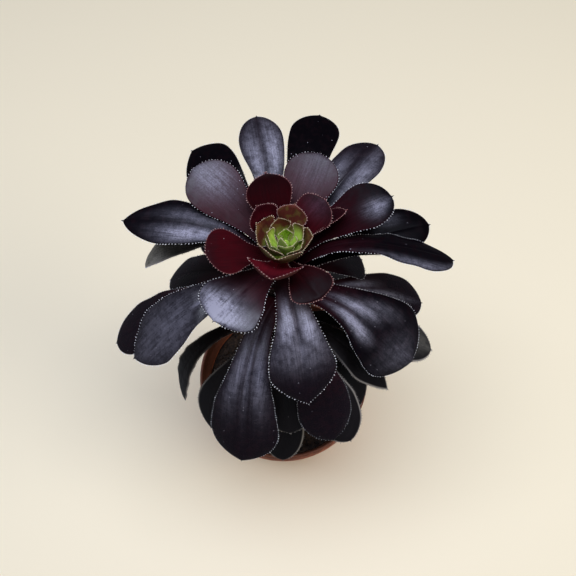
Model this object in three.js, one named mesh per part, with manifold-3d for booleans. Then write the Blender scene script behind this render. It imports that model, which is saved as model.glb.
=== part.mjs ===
// A potted aeonium: a dark rosette of fleshy leaves around a green heart, on a short leafy stem that is
// rooted in a thin plastic nursery pot. Millimetres, +Z up, the plant's front towards -Y. The origin is
// the middle of the pot's underside, where it rests.
import * as THREE from 'three';
import { mergeVertices } from 'three/addons/utils/BufferGeometryUtils.js';
import Module from 'manifold-3d';

const wasm = await Module();
wasm.setup();

// ---- driving dimensions ----
const GAP = 0.3;
const POT = { height: 72, rimRadius: 42.5, footRadius: 29, wall: 1.2, floor: 1.6, sides: 40 };
const COLLAR = { height: 9, wall: 1.5, step: 2.3, flare: 0.4, edge: 0.8 };
const CHANNEL = { inner: 10, outer: 22, rise: 2, slope: 1.5 };
const DRAIN_HOLES = { count: 6, radius: 2.5, depth: 12, sides: 16 };
const SOIL = { top: 63, edgeDip: 2, shoulder: 8, shoulderDip: 0.4, bottom: 4.2, sides: 32 };
const STEM = { rootEnd: 39, top: 184, crown: 0.6, radius: 6, sides: 12, steps: 22 };
const BUD = { height: 5, radius: 1.5, fullness: 0.7, sides: 10, steps: 5 };

// The stem leans back on its way up, straightens near the top, and thins twice.
const LEAN = { back: 8, from: 60, to: 165, forward: 1.5, top: 186 };
// The growing tip stands a little off the stem's line.
const CROWN = { aside: 1.6, forward: 0.8, from: 179, to: 186 };
const THINNING = { woody: 0.8, woodyTo: 110, crown: 3.2, crownFrom: 166, crownTo: 185 };

// How every leaf grows, as shares of its length, width or thickness, with its curls in degrees.
// Outline: it widens from a narrow foot to its fullest, then rounds off towards the tip.
const OUTLINE = { neck: 0.3, fullest: 0.76, swell: 1.7, shoulder: 2.1, round: 0.56 };
// Midrib: it keeps its first direction for a share of the way. A hooked tip hangs under a point that
// stands off it by some millimetres.
const MIDRIB = { straight: 0.45, hookInset: 4 };
// Cross-section: a channel at the foot, settling into the leaf's own cup and roll, with thin edges.
const SECTION = { footCurl: 25, cupAt: 0.75, rollAt: 0.5, tipThinning: 0.35, edgeThinning: 0.72 };
const FOOT_BODY = { least: 0.25, growth: 2.4 };
const LEAF_MESH = { rings: 9, tipCrowding: 1.4, top: [-1, -0.5, 0, 0.5, 1], under: [0.5, 0, -0.5] };

// Each leaf: height of its foot on the stem, compass angle, reach of its tip from the stem's axis,
// height of its tip, angle at which it leaves the stem, width, roll of the blade, and cup: how far its
// edges curl, up when positive. Optional: turn (foot's angle off the tip's), fullest and neck in place
// of the outline's own, and hook (how high the midrib arches above a hanging tip).
const LEAVES = {
  heart: {
    thickness: 0.8,
    color: '#8a9a3e',
    rows: [
      [185.6, 218, 1.4, 190.6, 62, 4.6, 0, 62],
      [185.4, 344, 3.9, 190.8, 58, 5, 0, 62],
      [185.2, 92, 3.1, 191.4, 56, 5.6, 0, 60],
      [184.9, 268, 3.9, 190.8, 52, 6.4, 0, 60],
      [184.6, 30, 6.6, 192.6, 48, 7, 0, 52],
      [184.3, 172, 6.2, 192, 46, 7.6, 0, 52],
      [184, 315, 6.9, 191.2, 44, 8.4, 0, 52],
      [183.6, 110, 6.4, 193, 46, 8.4, 0, 50],
      [183.2, 224, 6.9, 191.3, 40, 9.6, 0, 50],
      [182.8, 355, 9.4, 192, 40, 9.6, 0, 46],
      [182.4, 156, 9.8, 191.8, 40, 13, 0, 46],
      [181.8, 258, 9.6, 191.5, 34, 18, 0, 62],
    ],
  },
  inner: {
    thickness: 1.8,
    color: '#5a1c2a',
    rows: [
      [182.2, 69, 10.4, 195, 48, 11, 0, 34],
      [181, 133, 12.4, 194.5, 42, 12.5, 0, 36],
      [180.6, 40, 19, 193.5, 48, 15, 0, 22],
      [178.6, 105, 21, 197, 44, 16, 0, 20],
      [179, 259, 16.5, 190, 34, 21, 0, 55],
      [178, 195, 25.5, 190, 40, 18, 0, 14],
      [176, 304, 23, 181, 40, 16, 0, 5],
      [178, 25, 24, 190, 45, 12, -40, 20],
    ],
  },
  rosette: {
    thickness: 2.3,
    color: '#3a2c3c',
    rows: [
      [174, 24, 42, 188, 40, 18.5, 0, 26],
      [177, 67.5, 35, 193, 35, 19.5, 0, 10],
      [176, 140.5, 40, 193, 40, 19.5, -14, 10],
      [170.5, 168, 58, 180, 60, 18.5, 0, 5],
      [172.5, 230, 34.5, 179, 30, 24, 0, -8, { neck: 0.35 }],
      [168, 281.5, 47, 150, 30, 24, 0, -15, { neck: 0.4 }],
      [170, 1, 62, 170.7, 60, 17.5, -22, -12],
      [172, 99.5, 62.5, 180, 30, 17, 0, 5],
      [166, 77, 66.5, 177, 30, 19.5, 0, 0, { fullest: 0.84 }],
      [170, 52, 59.5, 180, 35, 17.5, 0, 5],
      [162, 16, 57, 171.5, 35, 17.5, 10, 0],
      [163, 125, 64, 170, 45, 22, -24, 0],
    ],
  },
  middle: {
    thickness: 2.2,
    color: '#2a2230',
    rows: [
      [160, 173, 53, 158, 45, 11, 0, 0, { turn: -50, hook: 15 }],
      [154, 335, 57, 134, 35, 31, 18, -20, { fullest: 0.78 }],
      [160, 205.5, 62.5, 144.5, 47, 22.5, 0, 0],
      [152, 255, 62, 120, 30, 27, 0, -20, { turn: -8, fullest: 0.82 }],
      [147, 1, 57.5, 136.5, 22, 19, 0, 0],
      [146, 191.5, 70, 129.5, 45, 21, 0, 0],
      [152, 166, 49, 136, 22, 18, 0, 0],
      [156, 23, 34.5, 150, 40, 20, 0, 0],
      [144, 292, 55, 118, 30, 22, 0, -20],
      [146, 60, 50, 146, 35, 18, 0, -5],
      [140, 98, 54, 138, 35, 19, 0, -5],
      [142, 135, 46, 142, 35, 18, 0, -5],
    ],
  },
  lower: {
    thickness: 2,
    color: '#241c22',
    rows: [
      [129.5, 348, 64, 123.5, 31, 19, 0, 0],
      [131, 327, 52.5, 117, 40, 15, 0, 0, { fullest: 0.65 }],
      [126, 300, 56, 112.5, 30, 20, 0, -10],
      [136, 274, 48, 119, 30, 22, 0, -10],
      [114, 270, 51, 92, 30, 18, 0, -10],
      [128, 201, 52.5, 78, 40, 14, 0, 0, { hook: 45 }],
      [122, 230, 50, 95, 45, 24, 0, 0],
      [118, 320, 45, 101, 35, 20, 0, 0],
      [128, 118, 48, 112, 30, 20, 0, -15],
      [130, 74, 48, 112, 30, 20, 0, -15],
      [127, 36, 44, 112, 25, 18, 0, -10],
    ],
  },
};

// ---- helpers ----
const radians = THREE.MathUtils.degToRad;
const { clamp, lerp, smoothstep } = THREE.MathUtils;
const UP = new THREE.Vector3(0, 0, 1);

function finish(color, roughness) {
  return new THREE.MeshStandardMaterial({ color, roughness, metalness: 0 });
}

// A closed skin over rings of equal length: the first ring is capped flat, the last closes on a point.
function loft(rings, end) {
  const sides = rings[0].length;
  const start = new THREE.Vector3();
  rings[0].forEach((point) => start.addScaledVector(point, 1 / sides));
  const points = [...rings.flat(), start, end];
  const faces = [];
  const last = (rings.length - 1) * sides;
  for (let side = 0; side < sides; side += 1) {
    const next = (side + 1) % sides;
    for (let low = 0; low < last; low += sides) {
      const high = low + sides;
      faces.push(low + side, low + next, high + next, low + side, high + next, high + side);
    }
    faces.push(points.length - 2, next, side);
    faces.push(last + side, last + next, points.length - 1);
  }
  const geometry = new THREE.BufferGeometry().setFromPoints(points);
  geometry.setIndex(faces);
  geometry.computeVertexNormals();
  return geometry;
}

// A shape turned about +Z from a profile of [radius, height] pairs.
function turned(profile, sides) {
  const points = profile.map(([radius, height]) => new THREE.Vector2(radius, height));
  return new THREE.LatheGeometry(points, sides).rotateX(Math.PI / 2);
}

// A solid for cutting: a turned shape's doubled seam is merged and its empty triangles are dropped.
function toSolid(geometry) {
  geometry.deleteAttribute('normal');
  geometry.deleteAttribute('uv');
  const merged = mergeVertices(geometry, 1e-4);
  const corners = merged.index.array;
  const faces = [];
  for (let i = 0; i < corners.length; i += 3) {
    const [a, b, c] = corners.slice(i, i + 3);
    if (a !== b && b !== c && c !== a) faces.push(a, b, c);
  }
  const vertProperties = new Float32Array(merged.attributes.position.array);
  return new wasm.Manifold(new wasm.Mesh({ numProp: 3, vertProperties, triVerts: new Uint32Array(faces) }));
}

function toGeometry(solid) {
  const mesh = solid.getMesh();
  const geometry = new THREE.BufferGeometry();
  geometry.setAttribute('position', new THREE.BufferAttribute(mesh.vertProperties, 3));
  geometry.setIndex(new THREE.BufferAttribute(mesh.triVerts, 1));
  geometry.computeVertexNormals();
  return geometry;
}

// ---- stem ----
function stemRadius(z) {
  const woody = THINNING.woody * smoothstep(z, LEAN.from, THINNING.woodyTo);
  return STEM.radius - woody - THINNING.crown * smoothstep(z, THINNING.crownFrom, THINNING.crownTo);
}

function stemCentre(z) {
  const crown = smoothstep(z, CROWN.from, CROWN.to);
  const back = LEAN.back * smoothstep(z, LEAN.from, LEAN.to) - CROWN.forward * crown;
  return new THREE.Vector3(CROWN.aside * crown, back - LEAN.forward * smoothstep(z, LEAN.to, LEAN.top), z);
}

function stem() {
  const rings = [];
  for (let step = 0; step <= STEM.steps; step += 1) {
    const z = lerp(STEM.rootEnd, STEM.top - STEM.crown, step / STEM.steps);
    const ring = [];
    for (let side = 0; side < STEM.sides; side += 1) {
      const turn = (2 * Math.PI * side) / STEM.sides;
      const out = new THREE.Vector3(Math.cos(turn), Math.sin(turn), 0);
      ring.push(stemCentre(z).addScaledVector(out, stemRadius(z)));
    }
    rings.push(ring);
  }
  return new THREE.Mesh(loft(rings, stemCentre(STEM.top)), finish('#5a4636', 0.8));
}

// The closed growing point: a small egg that sits on the stem's end.
function bud() {
  const profile = [[0, 0]];
  for (let step = 1; step <= BUD.steps; step += 1) {
    const rise = step / (BUD.steps + 1);
    profile.push([BUD.radius * Math.sin(Math.PI * rise ** BUD.fullness), BUD.height * rise]);
  }
  profile.push([0, BUD.height]);
  const mesh = new THREE.Mesh(turned(profile, BUD.sides), finish('#8fae3c', 0.5));
  mesh.position.copy(stemCentre(STEM.top + GAP));
  return mesh;
}

// ---- leaves ----
function readLeaf(row) {
  const [foot, angle, reach, tip, rise, width, roll, cup, more = {}] = row;
  const { neck, fullest } = OUTLINE;
  return { foot, angle, reach, tip, rise, width, roll, cup, turn: 0, neck, fullest, ...more };
}

// A leaf narrows to its foot like a spatula and rounds off towards its tip.
function halfWidth(leaf, along) {
  const grow = lerp(leaf.neck, 1, smoothstep(along, 0, leaf.fullest) ** OUTLINE.swell);
  const past = clamp((along - leaf.fullest) / (1 - leaf.fullest), 0, 1);
  return (leaf.width / 2) * grow * (1 - past ** OUTLINE.shoulder) ** OUTLINE.round;
}

// The leaf's centre line, from just outside the stem's skin to the tip.
function midrib(leaf, thickness) {
  const axis = stemCentre(leaf.foot);
  const angle = radians(leaf.angle);
  const rise = radians(leaf.rise);
  const out = new THREE.Vector3(Math.cos(angle), Math.sin(angle), 0);
  const leave = out.clone().applyAxisAngle(UP, radians(leaf.turn));
  const clear = stemRadius(leaf.foot) + GAP + (thickness / 2) * Math.sin(rise);
  const start = axis.clone().addScaledVector(leave, clear);
  const end = axis.clone().addScaledVector(out, leaf.reach).setZ(leaf.tip);
  const climb = leave.clone().multiplyScalar(Math.cos(rise)).setZ(Math.sin(rise));
  const first = start.clone().addScaledVector(climb, MIDRIB.straight * start.distanceTo(end));
  const second = first.clone().lerp(end, MIDRIB.straight);
  if (leaf.hook) {
    second.copy(end).addScaledVector(out, -MIDRIB.hookInset).setZ(leaf.tip + leaf.hook);
  }
  return new THREE.CubicBezierCurve3(start, first, second, end);
}

// One ring of a leaf: its upper face from edge to edge, then back along its under face. The blade is
// bent to an arc whose angle is the curl; a flat one takes the least curl that still has a radius.
function leafRing(leaf, curve, along, thickness) {
  const angle = radians(leaf.angle);
  const level = new THREE.Vector3(-Math.sin(angle), Math.cos(angle), 0);
  const tangent = curve.getTangentAt(along);
  const side = level.clone().addScaledVector(tangent, -level.dot(tangent)).normalize();
  side.applyAxisAngle(tangent, radians(leaf.roll) * smoothstep(along, 0, SECTION.rollAt));
  const up = new THREE.Vector3().crossVectors(tangent, side);

  const half = halfWidth(leaf, along);
  const leastCurl = 1e-4;
  const settled = clamp(along / SECTION.cupAt, 0, 1);
  const curl = radians(lerp(SECTION.footCurl, leaf.cup, settled)) || leastCurl;
  const fill = Math.min(1, (FOOT_BODY.growth * half) / leaf.width + FOOT_BODY.least);
  const body = (thickness / 2) * (1 - SECTION.tipThinning * along) * fill;

  const point = (across, face) => {
    const isEdge = Math.abs(across) === 1;
    const depth = isEdge ? 0 : face * body * (1 - SECTION.edgeThinning * across * across);
    return curve
      .getPointAt(along)
      .addScaledVector(side, (half * Math.sin(curl * across)) / curl)
      .addScaledVector(up, (half * (1 - Math.cos(curl * across))) / curl + depth);
  };
  const top = LEAF_MESH.top.map((across) => point(across, 1));
  const under = LEAF_MESH.under.map((across) => point(across, -1));
  return [...top, ...under].reverse();
}

function leafMesh(row, thickness, color) {
  const leaf = readLeaf(row);
  const curve = midrib(leaf, thickness);
  const rings = [];
  for (let ring = 0; ring < LEAF_MESH.rings; ring += 1) {
    const along = 1 - (1 - ring / LEAF_MESH.rings) ** LEAF_MESH.tipCrowding;
    rings.push(leafRing(leaf, curve, along, thickness));
  }
  return new THREE.Mesh(loft(rings, curve.getPointAt(1)), finish(color, 0.45));
}

// ---- soil and pot ----
const collarFoot = POT.height - COLLAR.height;
const bodyTop = POT.rimRadius - COLLAR.step;

// Inside of the pot's wall below the collar.
function wallRadius(z) {
  return lerp(POT.footRadius, bodyTop, clamp(z / collarFoot, 0, 1)) - POT.wall;
}

// The potting mix fills the pot around the stem's root end, slightly domed, with its top bare.
function soil() {
  const socket = STEM.radius + GAP;
  const socketFloor = STEM.rootEnd - GAP;
  const edge = SOIL.top - SOIL.edgeDip;
  const profile = [
    [0, SOIL.bottom],
    [wallRadius(SOIL.bottom) - GAP, SOIL.bottom],
    [wallRadius(edge) - GAP, edge],
    [wallRadius(edge) - SOIL.shoulder, SOIL.top - SOIL.shoulderDip],
    [socket, SOIL.top],
    [socket, socketFloor],
    [0, socketFloor],
  ];
  return new THREE.Mesh(turned(profile, SOIL.sides), finish('#2a1f17', 0.95));
}

// A thin moulded shell: a tapering body, a collar to lift it by, and a raised ring underneath with the
// drain holes in it, so that they stand clear of the surface.
function pot() {
  const rim = POT.rimRadius;
  const { flare, edge } = COLLAR;
  const { inner, outer, rise, slope } = CHANNEL;
  const footBevel = 1;
  const ringWall = 0.5;
  const collarBelly = collarFoot + 1.2;
  const profile = [
    [0, 0],
    [inner, 0],
    [inner + slope, rise],
    [outer - slope, rise],
    [outer, 0],
    [POT.footRadius - edge, 0],
    [POT.footRadius, footBevel],
    [bodyTop, collarFoot - footBevel],
    [rim - edge, collarFoot + GAP],
    [rim - flare, collarBelly],
    [rim, POT.height - edge],
    [rim - flare, POT.height],
    [rim - COLLAR.wall + flare, POT.height],
    [rim - COLLAR.wall, POT.height - edge],
    [rim - COLLAR.wall - flare, collarBelly],
    [bodyTop - POT.wall, collarFoot - flare],
    [wallRadius(POT.floor), POT.floor],
    [outer + ringWall, POT.floor],
    [outer - slope + ringWall, POT.floor + rise],
    [inner + slope - ringWall, POT.floor + rise],
    [inner - ringWall, POT.floor],
    [0, POT.floor],
  ];
  let shell = toSolid(turned(profile, POT.sides));
  const ringRadius = (inner + outer) / 2;
  const { count, radius, depth, sides } = DRAIN_HOLES;
  for (let hole = 0; hole < count; hole += 1) {
    const turn = (2 * Math.PI * hole) / count;
    const drill = new THREE.CylinderGeometry(radius, radius, depth, sides).rotateX(Math.PI / 2);
    drill.translate(ringRadius * Math.cos(turn), ringRadius * Math.sin(turn), 0);
    shell = shell.subtract(toSolid(drill));
  }
  return new THREE.Mesh(toGeometry(shell), finish('#c2714b', 0.6));
}

// ---- assembly ----
const plant = new THREE.Group();

function add(name, mesh) {
  mesh.name = name;
  plant.add(mesh);
}

add('pot', pot());
add('soil', soil());
add('stem', stem());
add('heart_bud', bud());
for (const [family, { thickness, color, rows }] of Object.entries(LEAVES)) {
  rows.forEach((row, index) => add(`${family}_leaf_${index + 1}`, leafMesh(row, thickness, color)));
}

export default plant;
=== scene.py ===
"""A potted aeonium, seen from above its front: a dark rosette of fleshy leaves with fringed margins
around a green heart, on a leafy woody stem rooted in a terracotta-coloured nursery pot.

The file follows the plant as it is put together: the view, the table and the daylight first, then the
pot, the potting mix, the stem, the heart with its bud, and the leaves from there outwards. Lengths are
in millimetres until a mesh is made, and angles are in degrees.
"""
import math
import random

import bmesh
import bpy
import numpy as np
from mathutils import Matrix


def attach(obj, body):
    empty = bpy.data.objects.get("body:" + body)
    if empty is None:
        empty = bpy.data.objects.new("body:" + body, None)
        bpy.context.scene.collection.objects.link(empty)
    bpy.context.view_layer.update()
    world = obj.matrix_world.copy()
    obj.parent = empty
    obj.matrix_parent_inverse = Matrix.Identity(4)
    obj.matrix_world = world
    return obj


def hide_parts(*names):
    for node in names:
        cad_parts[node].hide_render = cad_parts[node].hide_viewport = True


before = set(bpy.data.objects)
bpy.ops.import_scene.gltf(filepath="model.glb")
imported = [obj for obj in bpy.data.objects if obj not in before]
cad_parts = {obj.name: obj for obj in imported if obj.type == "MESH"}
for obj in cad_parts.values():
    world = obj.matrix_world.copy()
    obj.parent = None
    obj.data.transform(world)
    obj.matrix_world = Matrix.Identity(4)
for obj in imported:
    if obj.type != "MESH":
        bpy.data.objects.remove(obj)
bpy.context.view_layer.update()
MM = 0.001

# ---- The view ----
# A hand-held camera above the plant's front, looking down on the rosette. The photograph's frame is
# square, so a lens as long as the sensor is wide takes in 53 degrees both ways.
CAMERA_PLACE = (2.2, -96.4, 351.9)
CAMERA_LOOKS_DOWN = 62.6
CAMERA_LENS = 36.0

camera_data = bpy.data.cameras.new("camera")
camera_data.lens = CAMERA_LENS
camera_data.sensor_width = CAMERA_LENS
camera_data.clip_start = 0.01
camera = bpy.data.objects.new("camera", camera_data)
camera.location = [c * MM for c in CAMERA_PLACE]
camera.rotation_euler = (math.radians(90 - CAMERA_LOOKS_DOWN), 0, 0)
bpy.context.scene.collection.objects.link(camera)
bpy.context.scene.camera = camera
bpy.context.scene.view_settings.view_transform = "Standard"


# ---- The table ----
# A pale cream table top of lacquered board, plain and matt, that the pot stands on. It runs out of
# sight all round.
TABLE_COLOUR = "#f8ebc9"
TABLE_ROUGHNESS = 0.55
TABLE_HALF = 1500


def linear(hex_colour):
    """A #rrggbb colour as the linear red, green, blue and alpha that a shader takes."""
    channels = [int(hex_colour[i:i + 2], 16) / 255 for i in (1, 3, 5)]
    return [c / 12.92 if c < 0.04045 else ((c + 0.055) / 1.055) ** 2.4 for c in channels] + [1]


def add_node(material, kind, settings=None, **links):
    """Adds a node. Settings are the node's own values by name, or its inputs' by number or name.
    Links join its inputs, by name with spaces as underscores or in1 for number 1, to other outputs.
    A MapRange turns the span from 1 to 2 into the one from 3 to 4. A Mix has its colours at 6 and 7, and
    gives their mixture as output 2."""
    node = material.node_tree.nodes.new("ShaderNode" + kind)
    for key, value in (settings or {}).items():
        if isinstance(key, int) or key in node.inputs:
            node.inputs[key].default_value = value
        else:
            setattr(node, key, value)
    for key, output in links.items():
        name = int(key[2:]) if key[:2] == "in" and key[2:].isdigit() else key.replace("_", " ")
        material.node_tree.links.new(output, node.inputs[name])
    return node


def new_material(name):
    """An empty node material and its Principled shader, joined to the output."""
    material = bpy.data.materials.new(name)
    material.use_nodes = True
    return material, material.node_tree.nodes["Principled BSDF"]


def join(material, output, shader, name):
    """Joins an output to the shader's input of that name."""
    material.node_tree.links.new(output, shader.inputs[name])


def table_lacquer():
    """Lacquer sprayed on board: one even cream coat with a dull sheen and no grain."""
    material, shader = new_material("matt_lacquer")
    shader.inputs["Base Color"].default_value = linear(TABLE_COLOUR)
    shader.inputs["Roughness"].default_value = TABLE_ROUGHNESS
    return material


def mesh_object(name, points, faces, material):
    """A smooth mesh from points in millimetres, with its faces turned outwards."""
    mesh = bpy.data.meshes.new(name)
    mesh.from_pydata((np.asarray(points) * MM).tolist(), [], faces)
    work = bmesh.new()
    work.from_mesh(mesh)
    bmesh.ops.recalc_face_normals(work, faces=work.faces)
    work.to_mesh(mesh)
    work.free()
    mesh.polygons.foreach_set("use_smooth", [True] * len(mesh.polygons))
    mesh.materials.append(material)
    made = bpy.data.objects.new(name, mesh)
    bpy.context.scene.collection.objects.link(made)
    return made


corners = [(x * TABLE_HALF, y * TABLE_HALF, 0) for x, y in ((-1, -1), (1, -1), (1, 1), (-1, 1))]
table = mesh_object("table", corners, [(0, 1, 2, 3)], table_lacquer())
# The leaves don't mirror the table, because their undersides and their tips stay dark in the photograph.
table.visible_glossy = False


# ---- The daylight ----
# One wide soft skylight overhead, a little to the left, a weak fill from far out on the right that the
# leaves don't mirror, and the faint light of a pale room. The skylight is a little blue, which gives
# the dark leaves their lavender shine.

# It aims a hair off straight down, so that its long side lies from left to right.
SKYLIGHT = {"place": (-150, 60, 1280), "aim": (-150, 60.01, 0), "wide": 1700, "deep": 700, "watts": 17.5,
            "colour": "#e2e9ff"}
FILL = {"place": (1100, -330, 850), "aim": (0, 0, 0), "wide": 900, "deep": 900, "watts": 8.5,
        "colour": "#f4f2f2"}
ROOM_COLOUR = "#c9cbd6"
ROOM_STRENGTH = 0.15
WALL_STRENGTH = 0.62


def soft_light(name, place, aim, wide, deep, watts, colour):
    """An oval area light, placed and aimed by points in millimetres."""
    data = bpy.data.lights.new(name, "AREA")
    data.shape = "ELLIPSE"
    data.size = wide * MM
    data.size_y = deep * MM
    data.energy = watts
    data.color = linear(colour)[:3]
    light = bpy.data.objects.new(name, data)
    light.location = [c * MM for c in place]
    towards = np.array(aim, float) - np.array(place, float)
    across = math.atan2(towards[1], towards[0])
    down = math.atan2(math.hypot(towards[0], towards[1]), -towards[2])
    light.rotation_euler = (down, 0, across - math.pi / 2)
    bpy.context.scene.collection.objects.link(light)
    return light


soft_light("skylight", **SKYLIGHT)
soft_light("fill", **FILL).visible_glossy = False
room = bpy.data.worlds.new("room")
room.use_nodes = True
room_light = room.node_tree.nodes["Background"]
room_light.inputs["Color"].default_value = linear(ROOM_COLOUR)
room_light.inputs["Strength"].default_value = ROOM_STRENGTH
# The pale wall behind is far away: it is seen past the plant, but hardly lights it.
wall = add_node(room, "Background", {"Color": linear(ROOM_COLOUR), "Strength": WALL_STRENGTH})
seen = add_node(room, "LightPath").outputs["Is Camera Ray"]
backdrop = add_node(room, "MixShader", in0=seen, in1=room_light.outputs[0], in2=wall.outputs[0])
join(room, backdrop.outputs[0], room.node_tree.nodes["World Output"], "Surface")
bpy.context.scene.world = room


# ---- The pot ----
# A thin nursery pot of moulded polypropylene in terracotta orange: a tapering body, a collar to lift it
# by, and a raised ring under the floor with the drain holes in it. It only rests on the table.
POT = {"height": 72, "rim": 42.5, "foot": 29, "wall": 1.2, "floor": 1.6}
COLLAR = {"height": 9, "wall": 1.5, "step": 2.3, "flare": 0.4}
CHANNEL = {"inner": 10, "outer": 22, "rise": 2, "slope": 1.5, "wall": 0.5}
DRAIN_HOLES = {"count": 6, "radius": 2.5, "drill": 12, "drill_sides": 32}
# Rounded edges from the mould: at the foot, at the step under the collar, where the body has tapered in a
# little, and at the collar's lower edge. A fine bead runs around the collar.
MOULDED = {"foot": 1, "step": 0.6, "taper": 0.1, "edge": 0.5, "bead": 0.25, "bead_height": 3.4,
           "bead_inset": 0.2}
POT_SIDES = 160
SHARP_FROM = 40
POT_COLOUR = "#b5623f"
POT_SCUFF = "#c98a68"
POT_DARKER = "#4a3326"
SCUFF_SIZE = 9
SMEAR_SIZE = 5
PEBBLE_SIZE = 0.35
# Where the pot is drawn darker brown: heights near the rim, at the foot and inside the wall, and the
# radii between which the wall's inside ends.
DARKER_AT = {"rim_from": 58, "foot_to": 10, "wall_from": 60, "wall_to": 62, "inside": 41.4, "outside": 42}
COLLAR_FOOT = POT["height"] - COLLAR["height"]
BODY_TOP = POT["rim"] - COLLAR["step"]


def terracotta_polypropylene():
    """Moulded polypropylene: a soft satin skin, finely pebbled by the mould, paler where it has been
    scuffed, and darker brown in smears near the rim, the foot and the inner wall."""
    material, shader = new_material("moulded_polypropylene")
    place = add_node(material, "TexCoord").outputs["Object"]
    scuff = add_node(material, "TexNoise", {"Scale": 1 / (SCUFF_SIZE * MM), "Detail": 8}, Vector=place)
    worn = add_node(material, "MapRange", {1: 0.5, 2: 0.75, 4: 0.35}, Value=scuff.outputs[0])
    skin = add_node(material, "Mix", {"data_type": "RGBA", 6: linear(POT_COLOUR), 7: linear(POT_SCUFF)},
                    Factor=worn.outputs[0])
    height = add_node(material, "SeparateXYZ", Vector=place).outputs["Z"]
    near_rim = add_node(material, "MapRange", {1: DARKER_AT["rim_from"] * MM, 2: POT["height"] * MM, 4: 0.4},
                        Value=height)
    near_foot = add_node(material, "MapRange", {1: DARKER_AT["foot_to"] * MM, 2: 0, 4: 0.2}, Value=height)
    ends = add_node(material, "Math", {"operation": "ADD"}, in0=near_rim.outputs[0],
                    in1=near_foot.outputs[0])
    level = add_node(material, "VectorMath", {"operation": "MULTIPLY", 1: (1, 1, 0)}, in0=place)
    radius = add_node(material, "VectorMath", {"operation": "LENGTH"}, in0=level.outputs[0])
    inner = add_node(material, "MapRange",
                     {1: DARKER_AT["outside"] * MM, 2: DARKER_AT["inside"] * MM, 4: 0.45},
                     Value=radius.outputs["Value"])
    above = add_node(material, "MapRange", {1: DARKER_AT["wall_from"] * MM, 2: DARKER_AT["wall_to"] * MM},
                     Value=height)
    inside = add_node(material, "Math", {"operation": "MULTIPLY"}, in0=inner.outputs[0],
                      in1=above.outputs[0])
    darker_where = add_node(material, "Math", {"operation": "ADD"}, in0=ends.outputs[0], in1=inside.outputs[0])
    # Darker brown in smears near the rim, at the foot and on the wall's inside.
    smears = add_node(material, "TexNoise", {"Scale": 1 / (SMEAR_SIZE * MM), "Detail": 6, "Distortion": 0.6},
                      Vector=place)
    darkening = add_node(material, "Math", {"operation": "MULTIPLY"}, in0=smears.outputs[0], in1=darker_where.outputs[0])
    darker_share = add_node(material, "MapRange", {1: 0.09, 2: 0.2, 4: 0.7}, Value=darkening.outputs[0])
    skin = add_node(material, "Mix", {"data_type": "RGBA", 7: linear(POT_DARKER)}, Factor=darker_share.outputs[0],
                    in6=skin.outputs[2])
    join(material, skin.outputs[2], shader, "Base Color")
    rough = add_node(material, "MapRange", {3: 0.38, 4: 0.62}, Value=scuff.outputs[0])
    join(material, rough.outputs[0], shader, "Roughness")
    pebble = add_node(material, "TexNoise", {"Scale": 1 / (PEBBLE_SIZE * MM), "Detail": 2}, Vector=place)
    bump = add_node(material, "Bump", {"Strength": 0.25, "Distance": 0.1 * MM}, Height=pebble.outputs[0])
    join(material, bump.outputs[0], shader, "Normal")
    return material


def wall_radius(z):
    """Inside of the pot's wall below the collar."""
    share = min(max(z / COLLAR_FOOT, 0), 1)
    return POT["foot"] + (BODY_TOP - POT["foot"]) * share - POT["wall"]


def arc(centre, radius, start, stop, steps=6):
    """Points along an arc in a turned profile, as [radius, height] pairs."""
    turns = np.radians(np.linspace(start, stop, steps))
    return [(centre[0] + radius * math.cos(t), centre[1] + radius * math.sin(t)) for t in turns]


def turned(name, profile, sides, material):
    """A shape turned about +Z from a closed profile of [radius, height] pairs, off the axis but at
    its two ends."""
    turns = np.linspace(0, 2 * math.pi, sides, endpoint=False)
    ends = [0, len(profile) - 1]
    points, rows = [], []
    for i, (radius, height) in enumerate(profile):
        spread = [0] if i in ends else turns
        rows.append(list(range(len(points), len(points) + len(spread))))
        points += [(radius * math.cos(t), radius * math.sin(t), height) for t in spread]
    faces = []
    for low, high in zip(rows, rows[1:]):
        for side in range(sides):
            after = (side + 1) % sides
            places = ((low, side), (low, after), (high, after), (high, side))
            quad = [row[place % len(row)] for row, place in places]
            faces.append(list(dict.fromkeys(quad)))
    return mesh_object(name, points, faces, material)


def pot_profile():
    """The pot's wall as it is turned, from the middle of the underside out, up and back in."""
    rim, top = POT["rim"], POT["height"]
    flare, wall = COLLAR["flare"], COLLAR["wall"]
    inner, outer = CHANNEL["inner"], CHANNEL["outer"]
    rise, slope, floor = CHANNEL["rise"], CHANNEL["slope"], POT["floor"]
    thick, lip = CHANNEL["wall"], wall / 2
    foot, step, edge, bead = (MOULDED[place] for place in ("foot", "step", "edge", "bead"))
    profile = [(0, 0), (inner, 0), (inner + slope, rise), (outer - slope, rise), (outer, 0)]
    profile += arc((POT["foot"] - foot, foot), foot, -90, -9)
    profile += arc((BODY_TOP - MOULDED["taper"] + step, COLLAR_FOOT - step), step, 180, 90)
    profile += arc((rim - flare - edge, COLLAR_FOOT + edge), edge, -90, 0)
    profile += arc((rim - MOULDED["bead_inset"] - bead, COLLAR_FOOT + MOULDED["bead_height"]), bead, -60, 60)
    profile += arc((rim - lip, top - lip), lip, 0, 180, 10)
    profile += [(rim - wall - flare, COLLAR_FOOT + POT["wall"])]
    profile += [(BODY_TOP - POT["wall"], COLLAR_FOOT - flare)]
    profile += [(wall_radius(floor), floor), (outer + thick, floor)]
    profile += [(outer - slope + thick, floor + rise), (inner + slope - thick, floor + rise)]
    return profile + [(inner - thick, floor), (0, floor)]


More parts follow.
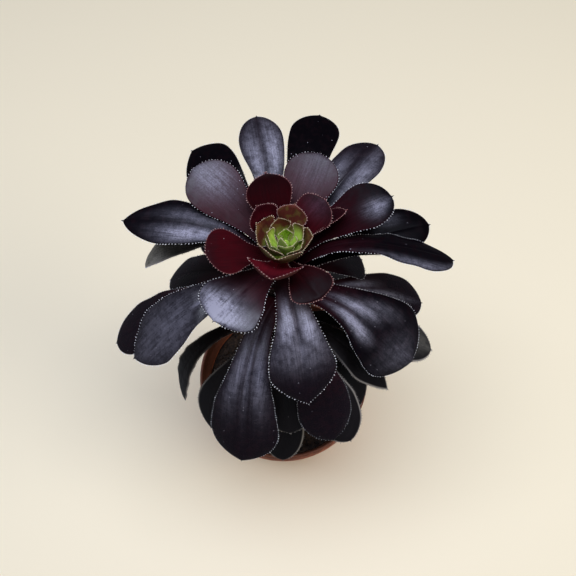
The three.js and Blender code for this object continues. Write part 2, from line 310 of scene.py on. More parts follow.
def drill_drain_holes(pot):
    """Cuts the drain holes through the raised ring, all at once."""
    ring = (CHANNEL["inner"] + CHANNEL["outer"]) / 2
    radius = DRAIN_HOLES["radius"] * MM
    work = bmesh.new()
    for hole in range(DRAIN_HOLES["count"]):
        turn = 2 * math.pi * hole / DRAIN_HOLES["count"]
        place = (ring * math.cos(turn) * MM, ring * math.sin(turn) * MM, 0)
        drill = bmesh.ops.create_cone(work, cap_ends=True, segments=DRAIN_HOLES["drill_sides"],
                                      depth=DRAIN_HOLES["drill"] * MM, radius1=radius, radius2=radius)
        bmesh.ops.translate(work, verts=drill["verts"], vec=place)
    mesh = bpy.data.meshes.new("drill")
    work.to_mesh(mesh)
    work.free()
    drills = bpy.data.objects.new("drill", mesh)
    bpy.context.scene.collection.objects.link(drills)
    cut = pot.modifiers.new("drain_holes", "BOOLEAN")
    cut.operation, cut.object = "DIFFERENCE", drills
    depsgraph = bpy.context.evaluated_depsgraph_get()
    pot.data = bpy.data.meshes.new_from_object(pot.evaluated_get(depsgraph))
    pot.modifiers.clear()
    bpy.data.objects.remove(drills)
    pot.data.set_sharp_from_angle(angle=math.radians(SHARP_FROM))


pot = turned("nursery_pot", pot_profile(), POT_SIDES, terracotta_polypropylene())
drill_drain_holes(pot)
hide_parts("pot")
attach(pot, "root")


# ---- The potting mix ----
# Dark peat compost, slightly domed around the stem and sunk below the rim for watering, with lumps of
# peat and slivers of bark lying on it.
SOIL = {"top": 63, "edge_dip": 2, "bottom": 4.2}
SOIL_DARK = "#1d1510"
SOIL_LIGHT = "#4b3828"
PEAT_GRAIN = 1.4
CRUMBS = 420
CRUMB_SIZES = (0.5, 1.9)
# The stem's socket in the solid model, how much closer the peat lies to the bark, and the room left
# between pieces that would touch.
SOCKET = 6.3
CLOSER = 0.4
GAP = 0.3
MIX_SIDES = 120
MIX_RINGS = 34


def peat_compost():
    """Moist peat: matt, near black in its pores, partly its own colour and partly painted shade, with brown
    fibres a few millimetres long.
    """
    material, shader = new_material("peat_compost")
    place = add_node(material, "TexCoord").outputs["Object"]
    grain = add_node(material, "TexNoise", {"Scale": 1 / (PEAT_GRAIN * MM), "Detail": 8}, Vector=place)
    # Darker where the grain sinks into pores: partly the peat's colour, partly painted shade.
    tone = add_node(material, "MapRange", {1: 0.38, 2: 0.72}, Value=grain.outputs[0])
    skin = add_node(material, "Mix", {"data_type": "RGBA", 6: linear(SOIL_DARK), 7: linear(SOIL_LIGHT)},
                    Factor=tone.outputs[0])
    join(material, skin.outputs[2], shader, "Base Color")
    shader.inputs["Roughness"].default_value = 0.93
    bump = add_node(material, "Bump", {"Strength": 0.8, "Distance": 0.5 * MM}, Height=grain.outputs[0])
    join(material, bump.outputs[0], shader, "Normal")
    return material


def soil_height(radius):
    """Top of the mix: a low dome that falls to the pot's wall."""
    edge = wall_radius(SOIL["top"] - SOIL["edge_dip"])
    return SOIL["top"] - SOIL["edge_dip"] * np.clip(radius / edge, 0, 1) ** 3


def add_crumbs(points, faces, dice):
    """Lumps and slivers of peat that lie half sunk in the surface, clear of the stem and the wall."""
    clear = 2
    across = wall_radius(SOIL["top"]) - SOCKET - 2 * clear
    for _ in range(CRUMBS):
        spread = SOCKET + clear + across * math.sqrt(dice.random())
        turn = dice.uniform(0, 2 * math.pi)
        size = dice.uniform(*CRUMB_SIZES) * dice.uniform(0.5, 1)
        height = soil_height(spread) + size * 0.2
        middle = np.array([spread * math.cos(turn), spread * math.sin(turn), height])
        stretch = np.array([dice.uniform(0.6, 1.8), dice.uniform(0.6, 1.1), dice.uniform(0.5, 0.9)])
        work = bmesh.new()
        bmesh.ops.create_icosphere(work, subdivisions=1, radius=size)
        first = len(points)
        yaw = dice.uniform(0, 2 * math.pi)
        cos, sin = math.cos(yaw), math.sin(yaw)
        for corner in work.verts:
            x, y, z = np.array(corner.co) * stretch * dice.uniform(0.8, 1.2)
            points.append(middle + (x * cos - y * sin, x * sin + y * cos, z))
        faces += [[first + corner.index for corner in face.verts] for face in work.faces]
        work.free()


def ring_faces(rings, around, closed=False):
    """Faces between rings of points, each ring to the next and, when closed, the last to the first."""
    faces = []
    for ring in range(rings if closed else rings - 1):
        low, high = ring * around, (ring + 1) % rings * around
        for side in range(around):
            after = (side + 1) % around
            faces.append([low + side, low + after, high + after, high + side])
    return faces


def potting_mix():
    """One closed skin: the rough top, the wall beside the pot, the bottom, and the stem's socket."""
    dice = random.Random("potting mix")
    rough = 0.3
    edge, bottom = SOIL["top"] - SOIL["edge_dip"], SOIL["bottom"]
    turns = [2 * math.pi * side / MIX_SIDES for side in range(MIX_SIDES)]
    points = []
    for radius in np.linspace(SOCKET - CLOSER, wall_radius(edge) - GAP / 2, MIX_RINGS):
        for turn in turns:
            rolling = 0.35 * math.sin(radius * 0.7 + 3 * turn) * math.sin(5 * turn)
            height = soil_height(radius) - rough + dice.uniform(-rough, rough) + rolling
            points.append((radius * math.cos(turn), radius * math.sin(turn), height))
    for radius in (wall_radius(bottom) - GAP, SOCKET - CLOSER):
        points += [(radius * math.cos(turn), radius * math.sin(turn), bottom) for turn in turns]
    faces = ring_faces(MIX_RINGS + 2, MIX_SIDES, closed=True)
    add_crumbs(points, faces, dice)
    return mesh_object("potting_mix", points, faces, peat_compost())


soil = potting_mix()
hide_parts("soil")
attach(soil, "root")


# ---- The stem ----
# A half-woody stem, bare and grey-brown below, where old leaves have dropped and left oval scars in a
# spiral, and green and purple under the rosette. It leans back a little as it rises.
STEM = {"root_end": 39, "top": 184, "radius": 6}
LEAN = {"back": 8, "from": 60, "to": 165, "forward": 1.5, "top": 186}
CROWN = {"aside": 1.6, "forward": 0.8, "from": 179, "to": 186}
THINNING = {"woody": 0.8, "woody_to": 110, "crown": 3.2, "crown_from": 166, "crown_to": 185}
SCARS = {"every": 1.9, "from": 62, "to": 158, "fade_from": 135, "half_wide": 2.6, "half_high": 1.2,
         "proud": 0.4, "hollow": 0.1}
GOLDEN_TURN = 137.5
CRACK_SIZE = 2.2
YOUNG_BARK = {"from": 120, "to": 165}
BARK_DARK = "#3a2a22"
BARK_LIGHT = "#8a7462"
BARK_YOUNG = "#3d2a2c"
SCAR_COLOUR = "#a8937c"


def ease(value, low, high):
    """Rises smoothly from 0 at low to 1 at high."""
    share = np.clip((value - low) / (high - low), 0, 1)
    return share * share * (3 - 2 * share)


def stem_radius(z):
    """The stem thins a little as it turns woody, and again up to the growing tip."""
    woody = THINNING["woody"] * ease(z, LEAN["from"], THINNING["woody_to"])
    return STEM["radius"] - woody - THINNING["crown"] * ease(z, THINNING["crown_from"], THINNING["crown_to"])


def stem_centre(z):
    """The stem leans back as it rises, and its tip bends forward and aside."""
    forward = LEAN["forward"] * ease(z, LEAN["to"], LEAN["top"])
    back = LEAN["back"] * ease(z, LEAN["from"], LEAN["to"]) - forward
    crown = ease(z, CROWN["from"], CROWN["to"])
    return np.array([float(CROWN["aside"] * crown), float(back - CROWN["forward"] * crown), z])


def succulent_bark():
    """Thin corky bark: matt grey-brown with fine cracks around the stem, and paler leaf scars."""
    material, shader = new_material("succulent_bark")
    place = add_node(material, "TexCoord").outputs["Object"]
    squash = add_node(material, "Mapping", {"Scale": (1, 1, 3)}, Vector=place)
    cracks = add_node(material, "TexNoise", {"Scale": 1 / (CRACK_SIZE * MM), "Detail": 9},
                      Vector=squash.outputs[0])
    tone = add_node(material, "MapRange", {1: 0.35, 2: 0.7}, Value=cracks.outputs[0])
    skin = add_node(material, "Mix", {"data_type": "RGBA", 6: linear(BARK_DARK), 7: linear(BARK_LIGHT)},
                    Factor=tone.outputs[0])
    height = add_node(material, "SeparateXYZ", Vector=place).outputs["Z"]
    young = add_node(material, "MapRange", {1: YOUNG_BARK["from"] * MM, 2: YOUNG_BARK["to"] * MM},
                     Value=height)
    skin = add_node(material, "Mix", {"data_type": "RGBA", 7: linear(BARK_YOUNG)}, Factor=young.outputs[0],
                    in6=skin.outputs[2])
    scar = add_node(material, "Attribute", {"attribute_name": "scar"}).outputs["Fac"]
    skin = add_node(material, "Mix", {"data_type": "RGBA", 7: linear(SCAR_COLOUR)}, Factor=scar,
                    in6=skin.outputs[2])
    join(material, skin.outputs[2], shader, "Base Color")
    shader.inputs["Roughness"].default_value = 0.72
    bump = add_node(material, "Bump", {"Strength": 0.6, "Distance": 0.35 * MM}, Height=cracks.outputs[0])
    join(material, bump.outputs[0], shader, "Normal")
    return material


def set_values(made, name, values):
    """Stores one number per point of the mesh, for its material to read."""
    field = made.data.attributes.new(name, "FLOAT", "POINT")
    field.data.foreach_set("value", np.asarray(values, np.float32))


def bare_stem():
    """The bark as rings of points, raised around each scar and sunk inside it."""
    sides, steps = 72, 420
    turns = np.linspace(0, 2 * math.pi, sides, endpoint=False)
    heights = np.linspace(STEM["root_end"], STEM["top"] - 0.6, steps)
    lift = np.zeros((steps, sides))
    tint = np.zeros((steps, sides))
    for i, scar_height in enumerate(np.arange(SCARS["from"], SCARS["to"], SCARS["every"])):
        turn = math.radians(GOLDEN_TURN * i)
        across = (turns[None, :] - turn + math.pi) % (2 * math.pi) - math.pi
        wide = across * stem_radius(scar_height) / SCARS["half_wide"]
        high = (heights[:, None] - scar_height) / SCARS["half_high"]
        away = np.hypot(wide, high)
        lift += SCARS["proud"] * np.exp(-((away - 1) / 0.35) ** 2)
        lift -= SCARS["hollow"] * np.exp(-(away / 0.6) ** 2)
        tint = np.maximum(tint, 0.75 * np.exp(-(away / 0.8) ** 4))
    points = []
    for i, z in enumerate(heights):
        centre, radius = stem_centre(z), stem_radius(z)
        for j, turn in enumerate(turns):
            wobble = 0.12 * math.sin(z * 0.9 + 2 * turn) + 0.1 * math.sin(z * 0.31 + 3 * turn)
            out = radius + lift[i, j] * min(1, radius / 5) + wobble
            points.append(centre + (out * math.cos(turn), out * math.sin(turn), 0))
    faces = [list(range(sides))] + ring_faces(steps, sides)
    last = (steps - 1) * sides
    points.append(stem_centre(STEM["top"]))
    faces += [[last + side, last + (side + 1) % sides, len(points) - 1] for side in range(sides)]
    made = mesh_object("woody_stem", points, faces, succulent_bark())
    fade = 1 - ease(heights, SCARS["fade_from"], SCARS["to"])
    set_values(made, "scar", np.append((tint * fade[:, None]).ravel(), 0))
    return made


stem = bare_stem()
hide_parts("stem")
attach(stem, "root")


# ---- The heart ----
# The growing tip: a closed bud of pale green leaves, and around it small green leaves that stand up
# and cup over it. Their margins are pink and carry a dense fringe of short stiff hairs.
#
# Each leaf: height of its foot on the stem, compass angle, reach of its tip from the stem's axis,
# height of its tip, angle at which it leaves the stem, width, roll of the blade, and cup: how far its
# edges curl, up when positive. What follows in braces is how it differs from its neighbours.
BUD = {"height": 5, "radius": 1.5, "fullness": 0.7, "folds": 0.13, "twist": 2.2}
HEART_THICKNESS = 0.8
HEART_LEAVES = [
    (185.6, 218, 1.4, 190.6, 62, 4.6, 0, 62, {"blush": 1.4}),
    (185.4, 344, 3.9, 190.8, 58, 5, 0, 62, {"blush": 1.4}),
    (185.2, 92, 3.1, 191.4, 56, 5.6, 0, 60, {"blush": 1.3}),
    (184.9, 268, 3.9, 190.8, 52, 6.4, 0, 60, {"blush": 1.3}),
    (184.6, 30, 6.6, 192.6, 48, 7, 0, 52, {"blush": 0.8}),
    (184.3, 172, 6.2, 192, 46, 7.6, 0, 52, {"blush": 0.9}),
    (184, 315, 6.9, 191.2, 44, 8.4, 0, 52, {"blush": 0.8}),
    (183.6, 110, 6.4, 193, 46, 8.4, 0, 50, {"blush": 0.5}),
    (183.2, 224, 6.9, 191.3, 40, 9.6, 0, 50, {"blush": 0.6}),
    (182.8, 355, 9.4, 192, 40, 9.6, 0, 46, {"blush": 0.45}),
    (182.4, 156, 9.8, 191.8, 40, 13, 0, 46, {"blush": 0.45}),
    (181.8, 258, 9.6, 191.5, 34, 18, 0, 62, {"blush": 0.6}),
]

# How every leaf grows, as shares of its length, width or thickness.
OUTLINE = {"neck": 0.3, "fullest": 0.76, "swell": 1.7, "shoulder": 2.1, "round": 0.56,
           "pointed_shoulder": -0.8, "pointed_round": 0.35}
STRAIGHT = 0.45
HOOK_INSET = 4
SECTION = {"foot_curl": 25, "cup_at": 0.75, "roll_at": 0.5, "tip_thinning": 0.35, "edge_thinning": 0.72,
           "edge_square": 7, "least_curl": 1e-4}
FOOT_BODY = {"least": 0.25, "growth": 2.4}
# The foot runs on into the stem's skin, and the tip into a short soft point, full on leaves this wide.
ROOTED = 1.2
TIP_POINT = {"length": 0.9, "half_wide": 0.7, "full_on": 12}
# Points lie closer together towards the tip, at the midrib and at both margins.
CROWDING = {"tip": 1.9, "margins": 0.11}
# Relief of the blade, as shares of half its thickness: the groove over the midrib, the keel under it, the
# soft ribs along the blade, and the slow waves of the whole blade and of its margins. The last is how
# uneven its outline is, as a share of its width.
RELIEF = {"groove": 0.32, "groove_wide": 0.07, "keel": 0.45, "keel_wide": 0.22, "ribs": 0.045, "wave": 0.35,
          "margin_wave": 0.3, "uneven": 0.022}
# How close those waves lie, in radians over the blade's length or half width, but for the margin's, which
# has so many millimetres to a radian.
RIPPLES = {"ribs": 13, "fine_ribs": 21, "wave_along": 5, "wave_across": 1.6, "margin_mm": 2.1, "outline": 9,
           "fine_outline": 21}
# The fringe: one hair in each stretch of margin of this length, in millimetres, closer together on narrow
# young leaves. It starts this share of the way up the margin.
FRINGE = {"every": 1.1, "jitter": 0.15, "crowded_below": 19, "from": 0.14, "clear_of_tip": 0.3}
HAIR = {"length": 0.6, "sizes": (0.35, 1.15), "radius": 0.2, "fattest": 0.45, "lean": (0.1, 0.6),
        "lift": 0.35, "rooted": 0.1}
# A leaf is red up to a share of its length, and the red fades out around it.
BLUSH_FADE = {"before": 0.35, "after": 0.25}
# Sizes of the pattern in a leaf's skin, in millimetres. Cells stretch along the leaf into streaks.
CUTICLE = {"streak_wide": 0.5, "streak_long": 9, "mottle": 2.5, "grain": 0.45, "speck_cell": 2.4}


def read_leaf(row):
    """A leaf's numbers by name, with the usual ones where its row says nothing else."""
    names = ("foot", "angle", "reach", "tip", "rise", "width", "roll", "cup")
    leaf = {"turn": 0, "neck": OUTLINE["neck"], "fullest": OUTLINE["fullest"], "hook": 0, "pointed": 0,
            "blush": 0.5, "wax": [], "groove": 0.4, "hairs": 1, "lobes": 0.15, "tone": 1}
    return {**leaf, **dict(zip(names, row)), **row[len(names)]}


def unit(vectors):
    """The same directions, each of length 1."""
    return vectors / np.linalg.norm(vectors, axis=-1, keepdims=True)


def half_width(leaf, along):
    """A leaf narrows to its foot like a spatula and rounds off towards its tip."""
    grow = leaf["neck"] + (1 - leaf["neck"]) * ease(along, 0, leaf["fullest"]) ** OUTLINE["swell"]
    past = np.clip((along - leaf["fullest"]) / (1 - leaf["fullest"]), 0, 1)
    shoulder = OUTLINE["shoulder"] + OUTLINE["pointed_shoulder"] * leaf["pointed"]
    roundness = OUTLINE["round"] + OUTLINE["pointed_round"] * leaf["pointed"]
    return leaf["width"] / 2 * grow * (1 - past ** shoulder) ** roundness


class Midrib:
    """The leaf's centre line, from just outside the stem's skin to the tip. Beyond either end it runs
    on straight."""

    def __init__(self, leaf, thickness):
        axis = stem_centre(leaf["foot"])
        angle, rise, turn = (math.radians(leaf[k]) for k in ("angle", "rise", "turn"))
        out = np.array([math.cos(angle), math.sin(angle), 0])
        leave = np.array([math.cos(angle + turn), math.sin(angle + turn), 0])
        clear = stem_radius(leaf["foot"]) + GAP + thickness / 2 * math.sin(rise)
        start = axis + leave * clear
        end = axis + out * leaf["reach"]
        end[2] = leaf["tip"]
        climb = leave * math.cos(rise) + np.array([0, 0, math.sin(rise)])
        first = start + climb * STRAIGHT * np.linalg.norm(end - start)
        second = first + (end - first) * STRAIGHT
        if leaf["hook"]:
            second = end - out * HOOK_INSET
            second[2] = leaf["tip"] + leaf["hook"]
        self.poles = [start, first, second, end]
        self.shares = np.linspace(0, 1, 401)
        steps = np.linalg.norm(np.diff(self.at(self.shares), axis=0), axis=1)
        self.marks = np.append(0, np.cumsum(steps))
        self.length = self.marks[-1]

    def at(self, share):
        a, b, c, d = self.poles
        t = np.asarray(share)[:, None]
        return a * (1 - t) ** 3 + 3 * b * (1 - t) ** 2 * t + 3 * c * (1 - t) * t ** 2 + d * t ** 3

    def follow(self, distance):
        """Points and directions at distances in millimetres from the foot."""
        share = np.interp(distance, self.marks, self.shares)
        a, b, c, d = self.poles
        t = share[:, None]
        heading = unit(3 * (b - a) * (1 - t) ** 2 + 6 * (c - b) * (1 - t) * t + 3 * (d - c) * t ** 2)
        beyond = distance - np.clip(distance, 0, self.length)
        return self.at(share) + heading * beyond[:, None], heading


def blade(leaf, thickness, dice, rings, spread):
    """The points of one blade, ring by ring from foot to tip, and what its skin needs to know of each
    point: its place on the blade in millimetres and as shares, and which face it is on."""
    midrib = Midrib(leaf, thickness)
    tip = TIP_POINT["length"] * min(1, leaf["width"] / TIP_POINT["full_on"])
    steps = np.linspace(0, 1, rings)
    distance = -ROOTED + (midrib.length + tip + ROOTED) * (1 - (1 - steps) ** CROWDING["tip"])
    along = np.clip(distance / midrib.length, 0, 1)
    centre, heading = midrib.follow(distance)
    angle = math.radians(leaf["angle"])
    level = np.array([-math.sin(angle), math.cos(angle), 0])
    side = unit(level - heading * (heading @ level)[:, None])
    roll = math.radians(leaf["roll"]) * ease(along, 0, SECTION["roll_at"])
    side = side * np.cos(roll)[:, None] + np.cross(heading, side) * np.sin(roll)[:, None]
    up = np.cross(heading, side)

    half = half_width(leaf, along)
    point = TIP_POINT["half_wide"] * tip * np.clip((midrib.length + tip - distance) / (2 * tip), 0.02, 1)
    half = np.maximum(half, point)
    settled = np.clip(along / SECTION["cup_at"], 0, 1)
    curl = np.radians(SECTION["foot_curl"] + (leaf["cup"] - SECTION["foot_curl"]) * settled)
    curl = np.where(abs(curl) < SECTION["least_curl"], SECTION["least_curl"], curl)
    fill = np.minimum(1, FOOT_BODY["growth"] * half / leaf["width"] + FOOT_BODY["least"])
    body = thickness / 2 * (1 - SECTION["tip_thinning"] * along) * fill

    even = np.linspace(-1, 1, spread)
    over = even - CROWDING["margins"] * np.sin(2 * math.pi * even)
    across = np.concatenate([over, over[-2:0:-1]])[None, :]
    face = np.concatenate([np.ones(spread), -np.ones(spread - 2)])[None, :]
    along, half, curl, body = (v[:, None] for v in (along, half, curl, body))
    upper = face > 0

    size = thickness / 2
    edge = np.sqrt(np.clip(1 - abs(across) ** SECTION["edge_square"], 0, 1))
    depth = face * body * (1 - SECTION["edge_thinning"] * across ** 2) * edge
    run = ease(along, 0.04, 0.3) * (1 - ease(along, 0.8, 1)) * leaf["groove"]
    depth -= upper * size * RELIEF["groove"] * np.exp(-(across / RELIEF["groove_wide"]) ** 2) * run
    depth -= ~upper * size * RELIEF["keel"] * np.exp(-(across / RELIEF["keel_wide"]) ** 2) * (1 - along)
    phases = [dice.uniform(0, 2 * math.pi) for _ in range(8)]
    swell = np.sin(math.pi * np.clip(along, 0, 1))
    ribs = np.sin(across * RIPPLES["ribs"] + phases[0] + 1.5 * along)
    ribs += 0.7 * np.sin(across * RIPPLES["fine_ribs"] + phases[1])
    depth += RELIEF["ribs"] * size * ribs * swell * (1 - across ** 4)
    slow = np.sin(along * RIPPLES["wave_along"] + phases[2])
    slow = slow * np.sin(across * RIPPLES["wave_across"] + phases[3])
    margin = np.sin(along * midrib.length / RIPPLES["margin_mm"] + phases[4] + 1.3 * np.sign(across))
    margin = margin * across ** 4
    depth = depth + size * swell * (RELIEF["wave"] * slow + RELIEF["margin_wave"] * margin)
    depth += leaf["lobes"] * swell * np.sin(math.pi * across) ** 2

    turn = curl * across
    waver = np.sin(along * RIPPLES["outline"] + phases[6] + 2 * np.sign(across))
    waver += 0.6 * np.sin(along * RIPPLES["fine_outline"] + phases[7] + across)
    sideways = half * (1 + RELIEF["uneven"] * waver * swell) * np.sin(turn) / curl
    lifted = half * (1 - np.cos(turn)) / curl + depth
    points = centre[:, None] + side[:, None] * sideways[..., None] + up[:, None] * lifted[..., None]
    each = np.ones_like(depth)
    facts = {
        "across_mm": half * across * each,
        "along_mm": distance[:, None] * each,
        "across": across * each,
        "along": along * each,
        "margin_mm": half * (1 - abs(across)) * each,
        "under": np.where(upper, 0, 1) * each,
    }
    margins = [(points[:, column], side * sign, heading, up) for column, sign in ((0, -1), (spread - 1, 1))]
    return points, facts, margins


def fringe(leaf, margins, dice):
    """Short stiff hairs along both margins, each a small bead drawn to a point that leans towards the
    tip. Gives their points, faces and, for each point, how far out along its hair it is."""
    points, faces, out = [], [], []
    young = min(1, leaf["width"] / FRINGE["crowded_below"])
    every = FRINGE["every"] * young
    for edge, outward, heading, up in margins:
        steps = np.linalg.norm(np.diff(edge, axis=0), axis=1)
        marks = np.append(0, np.cumsum(steps))
        place = marks[-1] * FRINGE["from"]
        while place < marks[-1] - FRINGE["clear_of_tip"]:
            root, away, forth, lift = (
                np.array([np.interp(place, marks, track[:, i]) for i in range(3)])
                for track in (edge, outward, heading, up)
            )
            lean = dice.uniform(*HAIR["lean"])
            aim = unit(away + forth * lean + lift * dice.uniform(-HAIR["lift"], HAIR["lift"]))
            size = dice.uniform(*HAIR["sizes"]) * leaf["hairs"] * (1 + young) / 2
            length = HAIR["length"] * size
            radius = HAIR["radius"] * min(1, size + 0.2)
            first = len(points)
            points.append(root - aim * HAIR["rooted"])
            for a, b in ((1, 0), (0, 1), (-1, 0), (0, -1)):
                points.append(root + aim * length * HAIR["fattest"] + (forth * a + lift * b) * radius)
            points.append(root + aim * length)
            out += [0, 1, 1, 1, 1, 1]
            for i in range(1, 5):
                after = i % 4 + 1
                faces += [[first + i, first + after, first + 5], [first + after, first + i, first]]
            place += every * dice.uniform(1 - FRINGE["jitter"], 1 + FRINGE["jitter"])
    return points, faces, out


def bloom_and_painted_sheen(leaf, across, along):
    """Where the leaf shows waxy bloom, partly a painted sheen: soft patches, each given by its place along
    and across the blade as shares, its reach both ways, and its strength."""
    bloom_and_sheen = np.zeros_like(along)
    for place, aside, reach, breadth, strength in leaf["wax"]:
        patch = np.exp(-((along - place) / reach) ** 2 - ((across - aside) / breadth) ** 2)
        bloom_and_sheen = np.maximum(bloom_and_sheen, strength * patch)
    return bloom_and_sheen


def grow_leaf(name, row, thickness, skin, hair, rings=46, spread=25):
    """One leaf: a closed blade and its fringe in one mesh, which also holds what its skin reads."""
    leaf = read_leaf(row)
    dice = random.Random(name)
    points, facts, margins = blade(leaf, thickness, dice, rings, spread)
    around = points.shape[1]
    first = rings * around
    faces = [list(range(around))] + ring_faces(rings, around) + [list(range(first - around, first))]
    blade_faces = len(faces)
    hair_points, hair_faces, out = fringe(leaf, margins, dice)
    faces += [[first + corner for corner in face] for face in hair_faces]
    made = mesh_object(name, np.concatenate([points.reshape(-1, 3), hair_points]), faces, skin)
    made.data.materials.append(hair)
    is_hair = [0] * blade_faces + [1] * len(hair_faces)
    made.data.polygons.foreach_set("material_index", is_hair)
    made.data.polygons.foreach_set("use_smooth", [not hairy for hairy in is_hair])
    facts["wax"] = bloom_and_painted_sheen(leaf, facts["across"], facts["along"])
    red_to = leaf["blush"]
    facts["blush"] = 1 - ease(facts["along"], red_to - BLUSH_FADE["before"], red_to + BLUSH_FADE["after"])
    rest = [0] * len(hair_points)
    for fact in ("across_mm", "along_mm", "margin_mm", "under", "wax", "blush"):
        set_values(made, fact, np.append(facts[fact].ravel(), rest))
    set_values(made, "hair", np.append(np.zeros(first), out))
    set_values(made, "own", np.full(first + len(rest), dice.uniform(0, 60)))
    set_values(made, "tone", np.full(first + len(rest), leaf["tone"]))
    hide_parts(name)
    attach(made, "root")
    return made


def leaf_skin(name, young, blade_colour, wax, rim, young_rim, dust, shine, gloss, rim_wide=0.45,
              underside="#33262b"):
    """Succulent leaf skin: a smooth waxy cuticle over fleshy tissue. It has fine streaks along the leaf,
    patches of dusty waxy bloom that are partly a painted sheen, a redder and duller foot, a coloured
    margin and a few specks."""
    material, shader = new_material(name)

    def fact(attribute):
        return add_node(material, "Attribute", {"attribute_name": attribute}).outputs["Fac"]

    place = add_node(material, "CombineXYZ", X=fact("across_mm"), Y=fact("along_mm"), Z=fact("own"))
    stretch = (1 / CUTICLE["streak_wide"], 1 / CUTICLE["streak_long"], 1)
    drawn = add_node(material, "Mapping", {"Scale": stretch}, Vector=place.outputs[0])
    streaks = add_node(material, "TexNoise", {"Scale": 1, "Detail": 3}, Vector=drawn.outputs[0])
    mottle = add_node(material, "TexNoise", {"Scale": 1 / CUTICLE["mottle"], "Detail": 6},
                      Vector=place.outputs[0])
    grain = add_node(material, "TexNoise", {"Scale": 1 / CUTICLE["grain"], "Detail": 2},
                     Vector=place.outputs[0])

    redder = add_node(material, "MapRange", {1: 0.4, 2: 0.6, 3: -0.08, 4: 0.08}, Value=mottle.outputs[0])
    blush = add_node(material, "Math", {"operation": "ADD", "use_clamp": True}, in0=fact("blush"),
                     in1=redder.outputs[0])
    skin = add_node(material, "Mix", {"data_type": "RGBA", 6: linear(blade_colour), 7: linear(young)},
                    Factor=blush.outputs[0])
    lines = add_node(material, "MapRange", {1: 0.3, 2: 0.75, 3: 0.85, 4: 1.2}, Value=streaks.outputs[0])
    lines = add_node(material, "Math", {"operation": "MULTIPLY"}, in0=lines.outputs[0], in1=fact("tone"))
    skin = add_node(material, "VectorMath", {"operation": "SCALE"}, in0=skin.outputs[2],
                    Scale=lines.outputs[0])

    broken = add_node(material, "MapRange", {1: 0.25, 2: 0.6, 3: 0.45, 4: 1.15}, Value=mottle.outputs[0])
    dusty = add_node(material, "MapRange", {1: 0.3, 2: 0.7, 3: 0.55, 4: 1.25}, Value=grain.outputs[0])
    brushed = add_node(material, "MapRange", {1: 0.3, 2: 0.7, 3: 0.6, 4: 1.3}, Value=streaks.outputs[0])
    # Patches of waxy bloom, partly a painted sheen where the leaf shines, mixed into the skin's colour.
    bloom_and_sheen = add_node(material, "Math", {"operation": "MULTIPLY"}, in0=fact("wax"), in1=broken.outputs[0])
    bloom_and_sheen = add_node(material, "Math", {"operation": "MULTIPLY"}, in0=bloom_and_sheen.outputs[0],
                     in1=brushed.outputs[0])
    bloom_and_sheen = add_node(material, "Math", {"operation": "MULTIPLY", "use_clamp": True}, in0=bloom_and_sheen.outputs[0],
                     in1=dusty.outputs[0])
    skin = add_node(material, "Mix", {"data_type": "RGBA", 7: linear(wax)}, Factor=bloom_and_sheen.outputs[0],
                    in6=skin.outputs[0])

    below = add_node(material, "Math", {"operation": "MULTIPLY", 1: 0.75}, in0=fact("under"))
    skin = add_node(material, "Mix", {"data_type": "RGBA", 7: linear(underside)}, Factor=below.outputs[0],
                    in6=skin.outputs[2])
    rimmed = add_node(material, "MapRange", {1: rim_wide, 2: rim_wide * 0.3, 4: 0.85},
                      Value=fact("margin_mm"))
    margin = add_node(material, "Mix", {"data_type": "RGBA", 6: linear(rim), 7: linear(young_rim)},
                      Factor=blush.outputs[0])
    skin = add_node(material, "Mix", {"data_type": "RGBA"}, Factor=rimmed.outputs[0], in6=skin.outputs[2],
                    in7=margin.outputs[2])

    # Specks of dust 0.2 mm across, in two cells of five.
    cells = add_node(material, "TexVoronoi", {"Scale": 1 / CUTICLE["speck_cell"]}, Vector=place.outputs[0])
    near = add_node(material, "MapRange", {1: 0.07, 2: 0.04}, Value=cells.outputs["Distance"])
    lot = add_node(material, "SeparateColor", Color=cells.outputs["Color"])
    chosen = add_node(material, "Math", {"operation": "GREATER_THAN", 1: 0.6}, in0=lot.outputs[0])
    speck = add_node(material, "Math", {"operation": "MULTIPLY"}, in0=near.outputs[0], in1=chosen.outputs[0])
    skin = add_node(material, "Mix", {"data_type": "RGBA", 7: linear(dust)}, Factor=speck.outputs[0],
                    in6=skin.outputs[2])
    join(material, skin.outputs[2], shader, "Base Color")

    rough = add_node(material, "MapRange", {1: 0.3, 2: 0.7, 3: shine, 4: shine + 0.1},
                     Value=mottle.outputs[0])
    waxed = add_node(material, "Math", {"operation": "MULTIPLY_ADD", 1: 0.15}, in0=bloom_and_sheen.outputs[0],
                     in2=rough.outputs[0])
    dull_rim = add_node(material, "Math", {"operation": "MULTIPLY_ADD", 1: 0.6}, in0=rimmed.outputs[0],
                        in2=waxed.outputs[0])
    dull = add_node(material, "Math", {"operation": "MULTIPLY_ADD", 1: 0.5, "use_clamp": True},
                    in0=blush.outputs[0], in2=dull_rim.outputs[0])
    join(material, dull.outputs[0], shader, "Roughness")
    shader.inputs["Specular IOR Level"].default_value = gloss
    low = add_node(material, "Bump", {"Strength": 0.2, "Distance": 0.1 * MM}, Height=streaks.outputs[0])
    fine = add_node(material, "Bump", {"Strength": 0.35, "Distance": 0.05 * MM}, Height=grain.outputs[0],
                    Normal=low.outputs[0])
    join(material, fine.outputs[0], shader, "Normal")
    return material


def hair_skin(name, root, tip):
    """Leaf hairs: clear horny cones that catch the light at their tips."""
    material, shader = new_material(name)
    out = add_node(material, "Attribute", {"attribute_name": "hair"}).outputs["Fac"]
    skin = add_node(material, "Mix", {"data_type": "RGBA", 6: linear(root), 7: linear(tip)}, Factor=out)
    join(material, skin.outputs[2], shader, "Base Color")
    shader.inputs["Roughness"].default_value = 0.35
    return material


